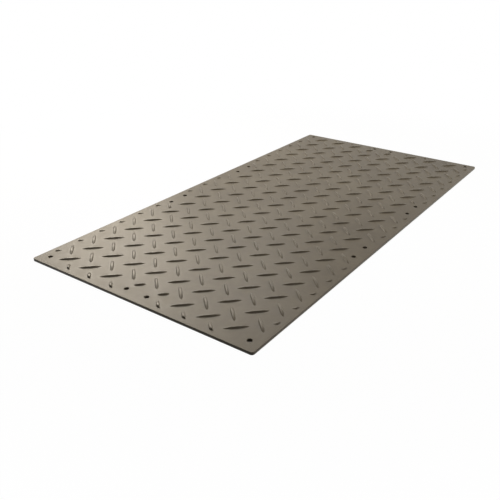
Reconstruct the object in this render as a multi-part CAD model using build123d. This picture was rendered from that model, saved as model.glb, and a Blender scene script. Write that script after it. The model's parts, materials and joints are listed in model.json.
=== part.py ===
from build123d import *
import math
import os

# A ground protection mat: one moulded polyethylene sheet that is laid on soft ground, so that
# machines and people can cross it. Its top has a tread of raised pointed lugs that lean two ways.
# Holes along its edges take the links that join one mat to the next.
# Millimetres. The origin is at the middle of the underside, X runs along the mat and Z is up.

# The sheet
mat_length = 2438.4
mat_width = 1219.2
sheet_thickness = 12.7
corner_radius = 12.7
top_edge_bevel = 2.5

# One lug of the tread. Its width and its height both swell from its points to its middle by the
# same curve, which is fuller than a parabola, and flat facets stand for that curve.
lug_length = 101.6
lug_width = 15.9
lug_height = 6.35
lug_draft = 28.0
lug_fullness = 2.4
lug_facets = 4

# The tread: two families of lugs on a square lattice, each in the gaps of the other. It stops at a
# flat border, where a lug that is cut off stays as a stub if enough of it is left.
tread_pitch = 133.35
tread_lean = 45.0
tread_border = 27.0
shortest_stub = 18.0

# The link holes: one at each corner, one pair at each end and two pairs along each long side
link_hole = 22.2
link_spacing = 114.3
link_end_inset = 47.65
link_side_inset = 54.0
side_pair_offset = 304.8
end_pair_shift = 12.7

# The tread and the link holes are both moved along the mat by this much, off its middle
tread_shift = 9.5

# How far the middle lines of the lugs keep from a link hole, and from the line between a pair
bare_radius = 37.0

# Places of the link holes, worked out from the sizes above
corner_link_x = mat_length / 2 - link_end_inset
corner_link_y = mat_width / 2 - link_side_inset
middle = Pos(tread_shift, 0)
corner_places = [
    middle * Pos(sx * corner_link_x, sy * corner_link_y) for sx in (-1, 1) for sy in (-1, 1)
]
end_pair_places = [middle * Pos(sx * corner_link_x, 0) * Rot(0, 0, 90) for sx in (-1, 1)]
side_pair_places = [
    middle * Pos(sx * side_pair_offset, sy * corner_link_y) for sx in (-1, 1) for sy in (-1, 1)
]


def make_sheet():
    """The flat sheet, with round corners and a bevel along its top edge."""
    outline = RectangleRounded(mat_length, mat_width, corner_radius)
    body = extrude(outline, sheet_thickness)
    top_edges = body.faces().sort_by(Axis.Z)[-1].edges()
    return chamfer(top_edges, top_edge_bevel)


def make_link_drills():
    """One drill through the sheet for every link hole. The end pairs sit off their bare places."""
    drill = Cylinder(link_hole / 2, sheet_thickness, align=(Align.CENTER, Align.CENTER, Align.MIN))
    ends = [Pos(side * link_spacing / 2, 0) for side in (-1, 1)]
    pair_places = [Pos(0, end_pair_shift) * place for place in end_pair_places] + side_pair_places
    return [place * drill for place in corner_places] + [
        place * end * drill for place in pair_places for end in ends
    ]


def make_lug(length):
    """A lug along X with its foot at the origin: drafted flanks rise to a crown between two points."""
    lean = math.tan(math.radians(lug_draft))
    corners = []
    for step in range(lug_facets + 1):
        along = 2 * step / lug_facets - 1
        swell = 1 - abs(along) ** lug_fullness
        x = along * length / 2
        foot = swell * lug_width / 2
        crown = foot - lean * swell * lug_height
        for side in (-1, 1):
            corners.append((x, side * foot, 0))
            corners.append((x, side * crown, swell * lug_height))
    return ConvexPolyhedron(corners)


def tread_places():
    """Where each lug of an endless tread would stand, over the whole sheet and a little past it."""
    columns = math.ceil(mat_length / tread_pitch / 2) + 1
    rows = math.ceil(mat_width / tread_pitch / 2) + 1
    half_pitch = tread_pitch / 2
    for column in range(-columns, columns + 1):
        for row in range(-rows, rows + 1):
            crossing = middle * Pos(column * tread_pitch, row * tread_pitch)
            yield crossing * Rot(0, 0, tread_lean)
            yield crossing * Pos(half_pitch, half_pitch) * Rot(0, 0, -tread_lean)


def make_link_lines():
    """What the lugs keep away from: each corner hole's middle, and the line between each pair."""
    pair = Line((-link_spacing / 2, 0), (link_spacing / 2, 0))
    pair_lines = [place * pair for place in end_pair_places + side_pair_places]
    return pair_lines + [Vertex(place.position) for place in corner_places]


def keeps_clear(place, length, link_lines):
    """True where the middle line of a lug stays far enough from every link hole."""
    middle_line = place * Line((-length / 2, 0), (length / 2, 0))
    return all(middle_line.distance_to(line) >= bare_radius for line in link_lines)


def place_lugs():
    """Every lug before the border cuts it. One too near a link hole gives way to its clear halves."""
    whole = make_lug(lug_length)
    half = make_lug(lug_length / 2)
    link_lines = make_link_lines()
    for place in tread_places():
        if keeps_clear(place, lug_length, link_lines):
            yield place, whole
            continue
        for side in (-1, 1):
            half_place = place * Pos(side * lug_length / 4, 0)
            if keeps_clear(half_place, lug_length / 2, link_lines):
                yield half_place, half


def make_tread():
    """The lugs on top of the sheet, cut off at the border, without stubs too short to mould."""
    field = extrude(Rectangle(mat_length - 2 * tread_border, mat_width - 2 * tread_border), lug_height)
    tread = []
    for place, lug in place_lugs():
        for stub in (place * lug & field).solids():
            if (place.inverse() * stub).bounding_box().size.X >= shortest_stub:
                tread.append(Pos(0, 0, sheet_thickness) * stub)
    return tread


mat = make_sheet() - make_link_drills() + make_tread()
print("solids", len(mat.solids()), "volume in litres", round(mat.volume / 1e6, 2))

os.makedirs("parts", exist_ok=True)
export_step(mat.solid(), "parts/ground_mat.step")
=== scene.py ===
# %% [markdown]
# # A ground protection mat
# The object is one heavy sheet of moulded polyethylene, which is laid on soft ground so that machines
# and people can cross it. Its top carries a tread of raised, slender lugs that lean two ways, and holes
# along its edges take the links that join one mat to the next.
#
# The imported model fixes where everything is. This script builds a finer skin in the same place, gives
# it the finish of the real plastic, and sets up the studio and the camera.

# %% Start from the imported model
import json
import math

import bmesh
import bpy
import numpy as np
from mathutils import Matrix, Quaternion, Vector
from mathutils.geometry import delaunay_2d_cdt


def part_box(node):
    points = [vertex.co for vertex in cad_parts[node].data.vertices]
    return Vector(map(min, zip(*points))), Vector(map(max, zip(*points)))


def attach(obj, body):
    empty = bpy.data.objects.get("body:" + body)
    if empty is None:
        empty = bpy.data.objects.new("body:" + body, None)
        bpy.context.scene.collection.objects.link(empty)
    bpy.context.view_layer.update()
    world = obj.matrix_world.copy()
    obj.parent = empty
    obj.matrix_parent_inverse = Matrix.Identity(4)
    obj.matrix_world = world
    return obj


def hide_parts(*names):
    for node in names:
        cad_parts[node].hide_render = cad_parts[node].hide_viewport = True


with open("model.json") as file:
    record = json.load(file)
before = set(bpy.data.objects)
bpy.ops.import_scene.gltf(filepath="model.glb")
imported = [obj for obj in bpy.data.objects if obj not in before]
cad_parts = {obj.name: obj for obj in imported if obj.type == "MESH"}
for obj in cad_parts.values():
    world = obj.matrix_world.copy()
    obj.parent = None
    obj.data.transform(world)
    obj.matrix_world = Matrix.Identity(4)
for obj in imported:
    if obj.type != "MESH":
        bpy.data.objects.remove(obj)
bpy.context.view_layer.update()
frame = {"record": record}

low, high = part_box("ground_mat")
mat_length = high.x - low.x
mat_width = high.y - low.y
print("mat", round(mat_length, 4), "by", round(mat_width, 4), "m,", round(high.z, 5), "m to the lug tops")

# %% [markdown]
# ## The sizes
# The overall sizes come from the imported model, so the skin can't drift away from it. What the model
# doesn't tell is written here once, in metres: the sheet, one lug, and the lattice that the lugs
# stand on. Everything else is worked out from these few numbers.

# %% The sheet
sheet_thickness = 0.0127
corner_radius = 0.0127
top_edge_radius = 0.0010
bottom_edge_radius = 0.0008
hole_rim_radius = 0.0008

# %% One lug
lug_length = 0.1016
lug_width = 0.0140
lug_height = high.z - sheet_thickness
lug_draft = math.radians(24)
height_fullness = 2.2
width_fullness = 6.0
lug_root_radius = 0.0007
lug_crown_radius = 0.0010
lug_end_radius = 0.0060

# %% The tread
tread_pitch = 0.13335
tread_lean = math.radians(45)
tread_border = 0.0270
tread_shift = 0.0095
shortest_stub = 0.0180
bare_radius = 0.0370

# %% Small distances that count as none
tiny = 1e-5
weld_distance = 2e-6
same_point = 1e-7

# %% [markdown]
# ## The link holes
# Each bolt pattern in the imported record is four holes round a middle. Reading them from the record
# keeps every hole of the skin on a hole of the model. The tread keeps away from each corner hole, and
# from the line between the two holes of each pair.

# %% Where the link holes are
patterns = {m["name"]: m for m in frame["record"]["mounts"] if m["kind"] == "bolt_pattern"}
quarter_signs = np.array([[-1, -1], [1, -1], [1, 1], [-1, 1]])


def four_holes(name):
    """The four holes of a pattern: its middle, half its spacing to each side."""
    pattern = patterns[name]
    spacing = np.array([pattern["dims"]["spacing_x_mm"], pattern["dims"]["spacing_y_mm"]]) / 1000
    return np.array(pattern["pos_m"][:2]) + quarter_signs * spacing / 2


hole_radius = patterns["corner_holes"]["dims"]["hole_r_mm"] / 1000
corner_holes = four_holes("corner_holes")
outer_holes = four_holes("outer_side_holes")
inner_holes = four_holes("inner_side_holes")
end_holes = four_holes("end_holes")
link_holes = np.concatenate([corner_holes, outer_holes, inner_holes, end_holes])
print("link holes", len(link_holes), "of", round(2 * hole_radius, 4), "m")

# %% The lines between them, from a start to an end
# The pairs at the ends are drilled a little off the middle of the room that the tread leaves them.
end_room = end_holes - [0, patterns["end_holes"]["pos_m"][1]]
link_starts = np.concatenate([corner_holes, outer_holes, end_room[[0, 1]]])
link_ends = np.concatenate([corner_holes, inner_holes, end_room[[3, 2]]])


def away_from(points, starts, ends):
    """How far each point is from each straight line that runs from a start to an end.

    The nearest place on the line is start + share * (end - start), where share is the point's place
    along the line, kept between 0 and 1. A line may be a single point.
    """
    run = ends - starts
    reach = points[..., None, :] - starts
    share = (reach * run).sum(-1) / np.maximum((run * run).sum(-1), tiny**2)
    nearest = np.clip(share, 0, 1)[..., None] * run
    return np.linalg.norm(reach - nearest, axis=-1)


# %% [markdown]
# ## The lattice of lugs
# The lugs stand on a square lattice, with every second one turned a quarter, like a basket weave.
# Near a link hole a whole lug would be in the way of the link, so the mould has a lug of half the
# length there, in the half of the place that is still clear, or none.

# %% Every place of an endless lattice
columns = math.ceil(mat_length / tread_pitch / 2) + 1
rows = math.ceil(mat_width / tread_pitch / 2) + 1
column, row = np.meshgrid(np.arange(-columns, columns + 1), np.arange(-rows, rows + 1), indexing="ij")
crossings = np.stack([tread_shift + column * tread_pitch, row * tread_pitch], -1).reshape(-1, 2)
lattice = np.concatenate([crossings, crossings + tread_pitch / 2])
leans = np.repeat([tread_lean, -tread_lean], len(crossings))
along_lug = np.stack([np.cos(leans), np.sin(leans)], -1)
across_lug = np.stack([-np.sin(leans), np.cos(leans)], -1)
print("places on the lattice", len(lattice))


# %% Whole lugs where there is room, half lugs where only a half is clear
def keeps_clear(middles, length, steps=100):
    """True for each place of the lattice whose middle line stays far enough from every link hole."""
    walk = np.linspace(-length / 2, length / 2, steps + 1)[:, None]
    line = middles[:, None] + along_lug[:, None] * walk
    return away_from(line, link_starts, link_ends).min((1, 2)) >= bare_radius


is_whole = keeps_clear(lattice, lug_length)
chosen = [(lattice, is_whole, lug_length)]
for side in (-1, 1):
    half_middles = lattice + side * along_lug * lug_length / 4
    chosen.append((half_middles, ~is_whole & keeps_clear(half_middles, lug_length / 2), lug_length / 2))

middles = np.concatenate([places[picked] for places, picked, length in chosen])
forwards = np.concatenate([along_lug[picked] for places, picked, length in chosen])
sideways = np.concatenate([across_lug[picked] for places, picked, length in chosen])
lengths = np.concatenate([np.full(picked.sum(), length) for places, picked, length in chosen])
half_count = int((lengths < lug_length).sum())
print("on the endless lattice: whole lugs", len(middles) - half_count, "half lugs", half_count)


def on_mat(middle, forward, sideways, along, across):
    """Points from places along and across a lug: middle + along * forward + across * sideways."""
    return middle + along[..., None] * forward + across[..., None] * sideways


def swell(along, length, fullness):
    """How full a lug is at a place along it: 1 - |2 * along / length| ** fullness, so 0 at its ends."""
    return 1 - np.abs(np.clip(2 * along / length, -1, 1)) ** fullness


# %% [markdown]
# ## The form of one lug
# Across, a lug is a low trapezium: a small fillet at its root, a drafted flank so that it leaves the
# mould, a rounded shoulder and a flat crown. Along, that section swells from nothing at one end to
# its full size in the middle and back, the width faster than the height, so that the sides run almost
# parallel and the ends are round. Two parameters describe it, the place along and the place in the
# section, so the whole tread is one array of points: lug, station, section point.

# %% The section, as places across and heights, both for a full lug
flank_run = math.tan(lug_draft)
half_foot = lug_width / 2
half_crown = half_foot - flank_run * lug_height
half_section = np.array(
    [
        [half_foot + lug_root_radius, 0],
        [half_foot - flank_run * lug_root_radius, lug_root_radius],
        [half_crown + flank_run * lug_crown_radius, lug_height - lug_crown_radius],
        [half_crown - lug_crown_radius / 2, lug_height],
    ]
)
section = np.concatenate([half_section * [-1, 1], half_section[::-1]])
section_across, section_height = section.T
print("section of a lug", len(section), "points, crown", round(2 * half_crown, 5), "m wide")


# %% Where each line of a lug ends
def line_end(side, rounds=12):
    """How far it is along each line of a lug to its end on one side, and if the border cuts it there.

    A line keeps its share of the lug's width, and the width depends on the place along. So the end is
    found in a few rounds: cut the line at the border with the last place across, and take the width
    there for the next round.
    """
    field = np.array([mat_length, mat_width]) / 2 - tread_border
    across = np.zeros((len(middles), len(section)))
    for _ in range(rounds):
        base = middles[:, None] + across[..., None] * sideways[:, None]
        to_border = (side * np.sign(forwards[:, None]) * field - base) / forwards[:, None]
        cut = (side * to_border).min(-1)
        end = side * np.minimum(cut, lengths[:, None] / 2)
        across = section_across * swell(end, lengths[:, None], width_fullness)
    return end, cut < lengths[:, None] / 2


start, start_is_cut = line_end(-1)
stop, stop_is_cut = line_end(1)

# %% Drop the stubs that are too short to mould
kept = stop[:, 1:-1].max(1) - start[:, 1:-1].min(1) >= shortest_stub
middles, forwards, sideways, lengths = middles[kept], forwards[kept], sideways[kept], lengths[kept]
start, stop, start_is_cut, stop_is_cut = start[kept], stop[kept], start_is_cut[kept], stop_is_cut[kept]
print("lugs", len(middles), "of which cut", int((start_is_cut | stop_is_cut).any(1).sum()))

# %% The skin of every lug at once
# A rounded end has stations that stand closer where it is steeper. It takes up no more than its share
# of a lug, so the two ends of a short stub can't overlap.
end_stations = np.array([0, 0.12, 0.4, 1])
greatest_end_share = 0.4
open_stations = 8


def lug_points():
    """Every lug as a grid of stations along it and points of its section.

    A point is at along = start + share * (stop - start), and its places across and up are those of
    the section, times how wide and how high the lug is there. A cut end is rounded: within a radius
    of it the height is also multiplied by the height of a quarter circle.
    """
    length = (stop - start)[:, None]
    radius = np.minimum(lug_end_radius, greatest_end_share * length)
    inset = end_stations[:, None] * radius / length
    inner = np.linspace(0, 1, open_stations + 1)[1:-1, None]
    share = np.concatenate(
        [inset, inset[:, -1:] + (1 - 2 * inset[:, -1:]) * inner, 1 - inset[:, ::-1]], axis=1
    )
    along = start[:, None] + share * length
    width = swell(along, lengths[:, None, None], width_fullness)

    def rounding(distance, is_cut):
        """How high a cut end is at a distance from it, as a share of the full height."""
        rise = np.sqrt(1 - (1 - np.clip(distance / radius, 0, 1)) ** 2)
        return np.where(is_cut[:, None], rise, 1)

    height = section_height * swell(along, lengths[:, None, None], height_fullness)
    height = height * rounding(along - start[:, None], start_is_cut)
    height = height * rounding(stop[:, None] - along, stop_is_cut)
    flat = on_mat(
        middles[:, None, None],
        forwards[:, None, None],
        sideways[:, None, None],
        along,
        section_across * width,
    )
    return np.concatenate([flat, sheet_thickness + height[..., None]], -1)


lugs = lug_points()
print("grid of the tread", lugs.shape, "faces on a lug", (lugs.shape[1] - 1) * (lugs.shape[2] - 1))

# %% [markdown]
# ## The sheet round the lugs
# A moulded mat is one skin, so the sheet isn't a box with lugs pushed into it. Its flat top is
# triangulated between the outline, the foot of every lug and the rim of every hole. Then each part
# meets its neighbour point for point, and merging the doubles closes the whole skin.


# %% Rows of points round the outline and the holes
def round_corners(inset, steps=6):
    """The outline of the mat, moved inwards: four quarter circles, joined by the straight sides."""
    radius = corner_radius - inset
    centre = np.array([mat_length, mat_width]) / 2 - corner_radius
    turn = np.linspace(0, np.pi / 2, steps + 1)
    corners = []
    for quarter, signs in enumerate([[1, 1], [-1, 1], [-1, -1], [1, -1]]):
        angle = turn + quarter * np.pi / 2
        corners.append(centre * signs + radius * np.stack([np.cos(angle), np.sin(angle)], -1))
    return np.concatenate(corners)


def ring(middle, radius, steps=32):
    """A circle of points round a middle."""
    angle = np.linspace(0, 2 * np.pi, steps, endpoint=False)
    return middle + radius * np.stack([np.cos(angle), np.sin(angle)], -1)


def quarter_round(radius, steps):
    """How far a rounded edge has gone inwards and downwards, from the flat face to the upright one."""
    angle = np.linspace(0, np.pi / 2, steps + 1)
    return radius * (1 - np.sin(angle)), radius * (1 - np.cos(angle))


def edge_profile(top_radius, bottom_radius, top_steps=4, bottom_steps=2):
    """A wall of the sheet from its top to its underside, as insets and heights."""
    top_inset, top_drop = quarter_round(top_radius, top_steps)
    low_inset, low_rise = quarter_round(bottom_radius, bottom_steps)
    inset = np.concatenate([top_inset, low_inset[::-1]])
    height = np.concatenate([sheet_thickness - top_drop, low_rise[::-1]])
    return inset, height


def wall(rows_of_points, heights):
    """A closed wall as a grid: each row of points at its own height."""
    rows_of_points = np.stack(rows_of_points)
    level = np.broadcast_to(heights[:, None, None], rows_of_points.shape[:2] + (1,))
    return np.concatenate([rows_of_points, level], -1)


outer_inset, outer_height = edge_profile(top_edge_radius, bottom_edge_radius)
outer_wall = wall([round_corners(inset) for inset in outer_inset], outer_height)
rim_inset, rim_height = edge_profile(hole_rim_radius, hole_rim_radius, top_steps=2)
hole_walls = [
    wall([ring(hole, hole_radius + inset) for inset in rim_inset], rim_height) for hole in link_holes
]
print("outer wall", outer_wall.shape, "hole walls", len(hole_walls), hole_walls[0].shape)


# %% The flat faces
halo_width = 0.018
halo_past_tips = 0.012


def foot_of(lug):
    """The closed line round the foot of a lug: its four borders, without points that fall together."""
    loop = np.concatenate([lug[0], lug[1:, -1], lug[-1, -2::-1], lug[-2:0:-1, 0]])[:, :2]
    step = np.linalg.norm(loop - np.roll(loop, 1, axis=0), axis=-1)
    return loop[step > weld_distance / 2][::-1]


def halo_of(lug, steps=16):
    """An oval round a lug, where the finish that the lug brings with it has faded out."""
    tips = lug[[0, -1], :, :2].mean(1)
    middle = tips.mean(0)
    run = (tips[1] - tips[0]) / 2
    half_length = np.linalg.norm(run)
    aside = np.array([-run[1], run[0]]) / half_length
    reach_along = run * (1 + halo_past_tips / half_length)
    reach_aside = aside * (half_foot + halo_width)
    angle = np.linspace(0, 2 * np.pi, steps, endpoint=False)[:, None]
    return middle + np.cos(angle) * reach_along + np.sin(angle) * reach_aside


def flat_face(outline, openings, marks, height):
    """A flat region as fat triangles: inside the outline, outside the openings, with the marks in it.

    This is a constrained Delaunay triangulation, which keeps every given edge. It says in which of the
    given loops each triangle lies, so a triangle is dropped if it lies in an opening as well.
    """
    loops = [outline, *openings, *marks]
    starts = np.cumsum([0] + [len(loop) for loop in loops])
    numbers = [np.arange(begin, end) for begin, end in zip(starts, starts[1:])]
    edges = np.concatenate([np.stack([number, np.roll(number, -1)], -1) for number in numbers])
    areas = [number.tolist() for number in numbers[: 1 + len(openings)]]
    inside_only = 1
    corners = np.concatenate(loops).tolist()
    found = delaunay_2d_cdt(corners, edges.tolist(), areas, inside_only, same_point, True)
    flat_points, _, triangles, _, _, areas_of_triangles = found
    kept_triangles = [face for face, inside in zip(triangles, areas_of_triangles) if inside == [0]]
    flat = np.array([tuple(point) for point in flat_points])
    return np.column_stack([flat, np.full(len(flat), height)]), kept_triangles


feet = [foot_of(lug) for lug in lugs]
halos = [halo_of(lug) for lug in lugs]
top_points, top_triangles = flat_face(
    outer_wall[0, :, :2], feet + [wall[0, :, :2] for wall in hole_walls], halos, sheet_thickness
)
low_points, low_triangles = flat_face(
    outer_wall[-1, :, :2], [wall[-1, :, :2] for wall in hole_walls], [], 0
)
print("flat top", len(top_triangles), "triangles, underside", len(low_triangles))

# %% [markdown]
# ## One closed skin
# All parts go into one mesh. Their shared points lie in the same places, so merging doubles joins
# them, and it also closes the ends of the lugs, where a whole row of the grid falls together.
# After that the faces are turned outwards.


# %% Put the parts together
def grid_faces(points, first, closed):
    """The four-sided faces of a grid, row by row, whose points are numbered from the given first one."""
    rows_here, along_row = points.shape[:2]
    number = first + np.arange(rows_here * along_row).reshape(rows_here, along_row)
    if closed:
        number = np.concatenate([number, number[:, :1]], 1)
    corners = [number[:-1, :-1], number[1:, :-1], number[1:, 1:], number[:-1, 1:]]
    return np.stack(corners, -1).reshape(-1, 4).tolist()


points, faces, count = [], [], 0
closed_grids = [(grid, True) for grid in [outer_wall, *hole_walls]]
open_grids = [(grid, False) for grid in lugs]
for grid, closed in closed_grids + open_grids:
    points.append(grid.reshape(-1, 3))
    faces += grid_faces(grid, count, closed)
    count += len(points[-1])
for flat, triangles in [(top_points, top_triangles), (low_points, low_triangles)]:
    points.append(flat)
    faces += [[count + corner for corner in triangle] for triangle in triangles]
    count += len(flat)

skin = bpy.data.meshes.new("ground_mat_skin")
skin.from_pydata(np.concatenate(points), [], faces)
welding = bmesh.new()
welding.from_mesh(skin)
bmesh.ops.remove_doubles(welding, verts=welding.verts, dist=weld_distance)
bmesh.ops.recalc_face_normals(welding, faces=welding.faces)
open_edges = sum(1 for edge in welding.edges if len(edge.link_faces) != 2)
volume = welding.calc_volume()
welding.to_mesh(skin)
welding.free()
triangle_count = sum(len(polygon.vertices) - 2 for polygon in skin.polygons)
print("skin", len(skin.vertices), "points,", triangle_count, "triangles, open edges", open_edges)
print("volume", round(volume * 1000, 2), "litres")

mat_skin = bpy.data.objects.new("mat_skin", skin)
bpy.context.scene.collection.objects.link(mat_skin)

# %% [markdown]
# ## Smooth and flat faces
# Smooth shading bends the light over a face from the normals at its corners. That is right for the
# rounded parts. A long flat triangle that ends at a rounded rim would get a dark smear from it, though,
# so the faces that lie level are shaded flat.

# %% Which faces are shaded smooth
crease = math.radians(40)
skin_points = np.empty(len(skin.vertices) * 3)
corner_points = np.empty(len(skin.loops), int)
first_corners = np.empty(len(skin.polygons), int)
skin.vertices.foreach_get("co", skin_points)
skin.loops.foreach_get("vertex_index", corner_points)
skin.polygons.foreach_get("loop_start", first_corners)
skin_points = skin_points.reshape(-1, 3)
corner_heights = skin_points[corner_points, 2]
highest = np.maximum.reduceat(corner_heights, first_corners)
lowest = np.minimum.reduceat(corner_heights, first_corners)
is_level = highest - lowest <= tiny
skin.set_sharp_from_angle(angle=crease)
skin.polygons.foreach_set("use_smooth", ~is_level)
print("level faces", int(is_level.sum()), "of", len(is_level))

# %% [markdown]
# ## Marks on the skin for the finish
# Moulded polyethylene isn't the same all over. Round a lug the plastic cools differently and can shine
# a little more, and wheels and boots rub the crowns. The crowns are also painted a little paler, partly
# for that rubbing and partly as a painted highlight. The material can't know where that is, so each
# point of the skin carries two numbers from 0 to 1, which the shader reads by name.

# %% How near each point is to a lug, and how high up a lug it is
# Every point is held against every lug. That is done in chunks, so that the arrays stay small.
chunk_count = 40
lug_starts = lugs[:, 0, :, :2].mean(1)
lug_stops = lugs[:, -1, :, :2].mean(1)
chunks = np.array_split(skin_points[:, :2], chunk_count)
gap = np.concatenate([away_from(chunk, lug_starts, lug_stops).min(-1) for chunk in chunks])
on_top = skin_points[:, 2] > sheet_thickness - tiny
near_lug = np.clip(1 - (gap - half_foot) / halo_width, 0, 1) * on_top
up_lug = np.clip((skin_points[:, 2] - sheet_thickness) / lug_height, 0, 1)
for name, values in [("near_lug", near_lug), ("up_lug", up_lug)]:
    skin.attributes.new(name, "FLOAT", "POINT").data.foreach_set("value", values.astype(np.float32))
    print(name, "from", round(float(values.min()), 2), "to", round(float(values.max()), 2))

# %% [markdown]
# ## Shader sums as plain Python
# A material is a graph of nodes. Wired up by hand it takes a page for one short formula, so a small
# class stands for one output in the graph: adding or multiplying two of them adds the node that does
# it. Then a finish reads like the formula that it is.


# %% One output of a shader graph
class Strand:
    """One output of a node. Sums written with it become Math nodes in the same graph."""

    def __init__(self, tree, socket=None):
        self.tree = tree
        self.socket = socket

    def node(self, kind, settings=None, sockets=None, output=0):
        """Add a node, set it, fill its sockets with values or strands, and give one of its outputs."""
        made = self.tree.nodes.new(kind)
        for name, value in (settings or {}).items():
            setattr(made, name, value)
        for name, value in (sockets or {}).items():
            if isinstance(value, Strand):
                self.tree.links.new(value.socket, made.inputs[name])
            else:
                made.inputs[name].default_value = value
        return Strand(self.tree, made.outputs[output] if made.outputs else None)

    def maths(self, operation, first, second):
        """A Math node between two values or strands."""
        return self.node("ShaderNodeMath", {"operation": operation}, {0: first, 1: second})

    def __add__(self, other):
        return self.maths("ADD", self, other)

    def __sub__(self, other):
        return self.maths("SUBTRACT", self, other)

    def __rsub__(self, other):
        return self.maths("SUBTRACT", other, self)

    def __mul__(self, other):
        return self.maths("MULTIPLY", self, other)

    __radd__ = __add__
    __rmul__ = __mul__

    def ease(self, start, stop):
        """A soft step of this strand: 0 up to the start, 1 from the stop, and a smooth rise between."""
        settings = {"interpolation_type": "SMOOTHSTEP"}
        sockets = {"Value": self, "From Min": start, "From Max": stop}
        return self.node("ShaderNodeMapRange", settings, sockets)

    def mix(self, first, second):
        """Between two colours: the first where this strand is 0, the second where it is 1."""
        sockets = {0: self, 6: first, 7: second}
        return self.node("ShaderNodeMix", {"data_type": "RGBA"}, sockets, output=2)

    def stretched(self, x, y, z):
        """These coordinates, stretched along each axis."""
        return self.node("ShaderNodeVectorMath", {"operation": "MULTIPLY"}, {0: self, 1: (x, y, z)})

    def noise(self, scale, detail=2.0, roughness=0.5):
        """A cloudy pattern on these coordinates, about 0.5 in the middle of its range."""
        sockets = {"Vector": self, "Scale": scale, "Detail": detail, "Roughness": roughness}
        return self.node("ShaderNodeTexNoise", None, sockets)


def colour(red, green, blue):
    """A colour as seen, from 0 to 255 a channel, as the light that a shader takes (sRGB decoding)."""
    seen = np.array([red, green, blue]) / 255
    light = np.where(seen <= 0.04045, seen / 12.92, ((seen + 0.055) / 1.055) ** 2.4)
    return (*light.tolist(), 1.0)


# %% [markdown]
# ## The plastic
# The mat is one material throughout: moulded polyethylene, a warm dark taupe with a satin skin. It
# isn't painted, so nothing chips. What breaks up the plain colour is faint cloudy flow marks from the
# mould, a fine grain, the shinier halo round each lug, and paler crowns, which are partly rubbed by
# wheels and boots and partly a painted highlight.
# All patterns read Object coordinates, which are the real metres of the mat.

# %% The colours, and how strong each effect is
body_dark = colour(97, 90, 78)
body_light = colour(110, 103, 89)
# The paler crown colour is partly rubbing by wheels and boots and partly a painted highlight on the lug
# tops.
rubbed_and_highlit_crown = colour(121, 113, 98)
crown_rub_and_highlight_share = 0.3
body_roughness = 0.42
mottle_roughness = 0.12
halo_polish = 0.04
crown_polish = 0.05
specular_level = 0.15
bump_strength = 0.25
bump_depth = 0.0004

# %% Moulded polyethylene
plastic = bpy.data.materials.new("moulded_polyethylene")
plastic.use_nodes = True
tree = plastic.node_tree
shader = tree.nodes["Principled BSDF"]
graph = Strand(tree)
place = graph.node("ShaderNodeTexCoord", output=3)
halo = graph.node("ShaderNodeAttribute", {"attribute_name": "near_lug"}, output=2)
height = graph.node("ShaderNodeAttribute", {"attribute_name": "up_lug"}, output=2)

flow = place.stretched(1, 1, 0.2).noise(scale=3.0, detail=3.0)
mottle = place.noise(scale=28.0, detail=4.0, roughness=0.6)
grain = place.noise(scale=420.0, detail=2.0, roughness=0.6)
crown = height.ease(0.7, 0.95)
shine = halo.ease(0.05, 0.9)

clouds = (flow * 0.6 + mottle * 0.4).ease(0.3, 0.7)
# The crowns are mixed toward a paler colour: partly real rubbing, partly a painted highlight.
body = (crown * mottle * crown_rub_and_highlight_share).mix(clouds.mix(body_dark, body_light), rubbed_and_highlit_crown)
roughness = body_roughness + (mottle - 0.5) * mottle_roughness - shine * halo_polish - crown * crown_polish

relief = {"Strength": bump_strength, "Distance": bump_depth, "Height": grain * 0.6 + mottle}
bump = graph.node("ShaderNodeBump", None, relief)
tree.links.new(body.socket, shader.inputs["Base Color"])
tree.links.new(roughness.socket, shader.inputs["Roughness"])
tree.links.new(bump.socket, shader.inputs["Normal"])
shader.inputs["Specular IOR Level"].default_value = specular_level
skin.materials.append(plastic)
print("plastic", len(tree.nodes), "nodes")

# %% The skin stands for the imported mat
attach(mat_skin, "root")
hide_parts("ground_mat")

# %% [markdown]
# ## The studio
# The photograph is a cut-out on pure white. A floor that were lit until it is white would throw far
# too much light at the mat, so the floor and the world ask what kind of ray reached them. The camera,
# mirrors and glass see white, while the floor stays a plain pale grey for the light that it throws
# back. Near the mat a small part of what the camera sees is still the lit floor, which keeps a faint
# shadow of the mat. Under the mat it is all of it, so that the link holes look into the dark.

# %% Floor and world
floor_size = 30.0
shadow_share = 0.02
shadow_fades = (1.4, 2.6)
cover_inset = 0.010
room_light = 0.08


def grey(level):
    """A grey, from 0 for black to 1 for white, as the light that a shader takes."""
    return (level, level, level, 1.0)


white = grey(1.0)
lit_paper = grey(0.9)
thrown_paper = grey(0.25)


def seen_directly(graph):
    """1 for a ray that shows the background: from the camera, in a mirror or through glass."""
    camera_ray = graph.node("ShaderNodeLightPath", output="Is Camera Ray")
    glossy_ray = graph.node("ShaderNodeLightPath", output="Is Glossy Ray")
    through_ray = graph.node("ShaderNodeLightPath", output="Is Transmission Ray")
    return graph.maths("MAXIMUM", graph.maths("MAXIMUM", camera_ray, glossy_ray), through_ray)


def lit_share(graph):
    """How much of the floor looks like plain lit paper: all under the mat, a little of it nearby."""
    here = graph.node("ShaderNodeTexCoord", output=3)
    away = graph.node("ShaderNodeVectorMath", {"operation": "ABSOLUTE"}, {0: here})
    along = graph.node("ShaderNodeSeparateXYZ", None, {0: away}, output=0)
    across = graph.node("ShaderNodeSeparateXYZ", None, {0: away}, output=1)
    under_length = graph.maths("LESS_THAN", along, mat_length / 2 - cover_inset)
    under_mat = graph.maths("LESS_THAN", across, mat_width / 2 - cover_inset) * under_length
    distance = graph.node("ShaderNodeVectorMath", {"operation": "LENGTH"}, {0: here}, output=1)
    around = (1 - distance.ease(*shadow_fades)) * shadow_share
    return graph.maths("MAXIMUM", under_mat, around)


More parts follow.
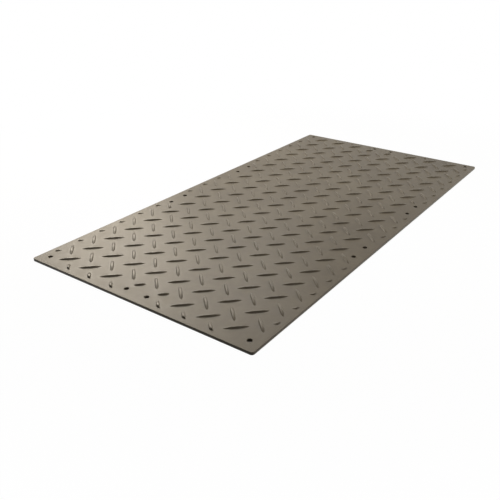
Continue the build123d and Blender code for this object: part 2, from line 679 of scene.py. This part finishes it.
floor_mesh = bpy.data.meshes.new("studio_floor")
floor_corners = quarter_signs * floor_size / 2
floor_mesh.from_pydata(np.column_stack([floor_corners, np.zeros(4)]).tolist(), [], [(0, 1, 2, 3)])
floor = bpy.data.objects.new("studio_floor", floor_mesh)
bpy.context.scene.collection.objects.link(floor)

paper = bpy.data.materials.new("studio_paper")
paper.use_nodes = True
paper.node_tree.nodes.clear()
graph = Strand(paper.node_tree)
lit = graph.node("ShaderNodeBsdfDiffuse", None, {"Color": lit_paper})
glow = graph.node("ShaderNodeEmission", None, {"Color": white, "Strength": 1.0})
shown = graph.node("ShaderNodeMixShader", None, {0: lit_share(graph), 1: glow, 2: lit})
thrown = graph.node("ShaderNodeBsdfDiffuse", None, {"Color": thrown_paper})
paper_skin = graph.node("ShaderNodeMixShader", None, {0: seen_directly(graph), 1: thrown, 2: shown})
graph.node("ShaderNodeOutputMaterial", None, {"Surface": paper_skin})
floor_mesh.materials.append(paper)

world = bpy.data.worlds.new("studio")
world.use_nodes = True
world.node_tree.nodes.clear()
graph = Strand(world.node_tree)
room = seen_directly(graph).mix(grey(room_light), white)
air = graph.node("ShaderNodeBackground", None, {"Color": room, "Strength": 1.0})
graph.node("ShaderNodeOutputWorld", None, {"Surface": air})
bpy.context.scene.world = world
print("floor", floor_size, "m wide")

# %% [markdown]
# ## The lamps
# In the photograph the light comes from behind the mat. It shows as a broad sheen on the far left of
# the top, while the flanks of the lugs that face the camera stay dark, and so does the short side.
# The long side on the right is as light as the top. Three soft panels do that: one low behind, whose
# reflection is the sheen, a wide one higher up behind, which lights the plastic and fades to the
# right, and a far one on the right.


# %% Lamps
sheen_tint = (1.0, 0.90, 0.75)
room_tint = (1.0, 0.93, 0.83)


def direction(azimuth, elevation):
    """The direction of a place in the studio, from its degrees round Z from +X and above the floor."""
    turn, rise = math.radians(azimuth), math.radians(elevation)
    return Vector((math.cos(turn) * math.cos(rise), math.sin(turn) * math.cos(rise), math.sin(rise)))


def panel(name, tint, watts, size, spread, aim, azimuth, elevation, distance):
    """A soft rectangular lamp that looks at its aim. A spread under 180 degrees dims its light aside."""
    data = bpy.data.lights.new(name, "AREA")
    data.shape = "RECTANGLE"
    data.size, data.size_y = size
    data.spread = math.radians(spread)
    data.energy = watts
    data.color = tint
    lamp = bpy.data.objects.new(name, data)
    towards = direction(azimuth, elevation)
    lamp.location = Vector((*aim, 0.0)) + towards * distance
    lamp.rotation_mode = "QUATERNION"
    lamp.rotation_quaternion = towards.to_track_quat("Z", "Y")
    bpy.context.scene.collection.objects.link(lamp)
    return lamp


sheen_panel = panel(
    "sheen_panel", sheen_tint, watts=47, size=(1.4, 0.9), spread=180,
    aim=(-1.0, 0.36), azimuth=51, elevation=28.5, distance=3.5,
)
back_panel = panel(
    "back_panel", room_tint, watts=37, size=(3.0, 1.5), spread=125,
    aim=(-0.95, 0.05), azimuth=50, elevation=40, distance=3.2,
)
side_panel = panel(
    "side_panel", room_tint, watts=82, size=(1.6, 0.8), spread=180,
    aim=(-0.3, -0.4), azimuth=-55, elevation=22, distance=4.2,
)
print("lamps", [lamp.name for lamp in (sheen_panel, back_panel, side_panel)])

# %% [markdown]
# ## The camera
# The four corners of the mat in the photograph fix the camera: how long its lens is, where it stands
# and how it is turned. It looks at a point on the floor from a direction round Z and a height, and it
# is rolled by a hair. The small shift is half a pixel, because the corners were read at pixel centres.

# %% Camera
picture_width = 500
focal_pixels = 618.2
aim_point = Vector((-0.5584, -0.1263, 0.0))
camera_distance = 2.8902
camera_azimuth = 215.54
camera_elevation = 26.82
camera_roll = math.radians(0.24)

lens = bpy.data.cameras.new("camera")
lens.sensor_width = 36.0
lens.lens = focal_pixels * lens.sensor_width / picture_width
lens.shift_x = -0.5 / picture_width
lens.shift_y = 0.5 / picture_width
camera = bpy.data.objects.new("camera", lens)
back = direction(camera_azimuth, camera_elevation)
camera.location = aim_point + camera_distance * back
camera.rotation_mode = "QUATERNION"
level = (-back).to_track_quat("-Z", "Y")
camera.rotation_quaternion = level @ Quaternion((0, 0, 1), camera_roll)
bpy.context.scene.collection.objects.link(camera)
bpy.context.scene.camera = camera
bpy.context.scene.view_settings.view_transform = "Standard"
print("lens", round(lens.lens, 2), "mm, camera at", [round(value, 3) for value in camera.location])
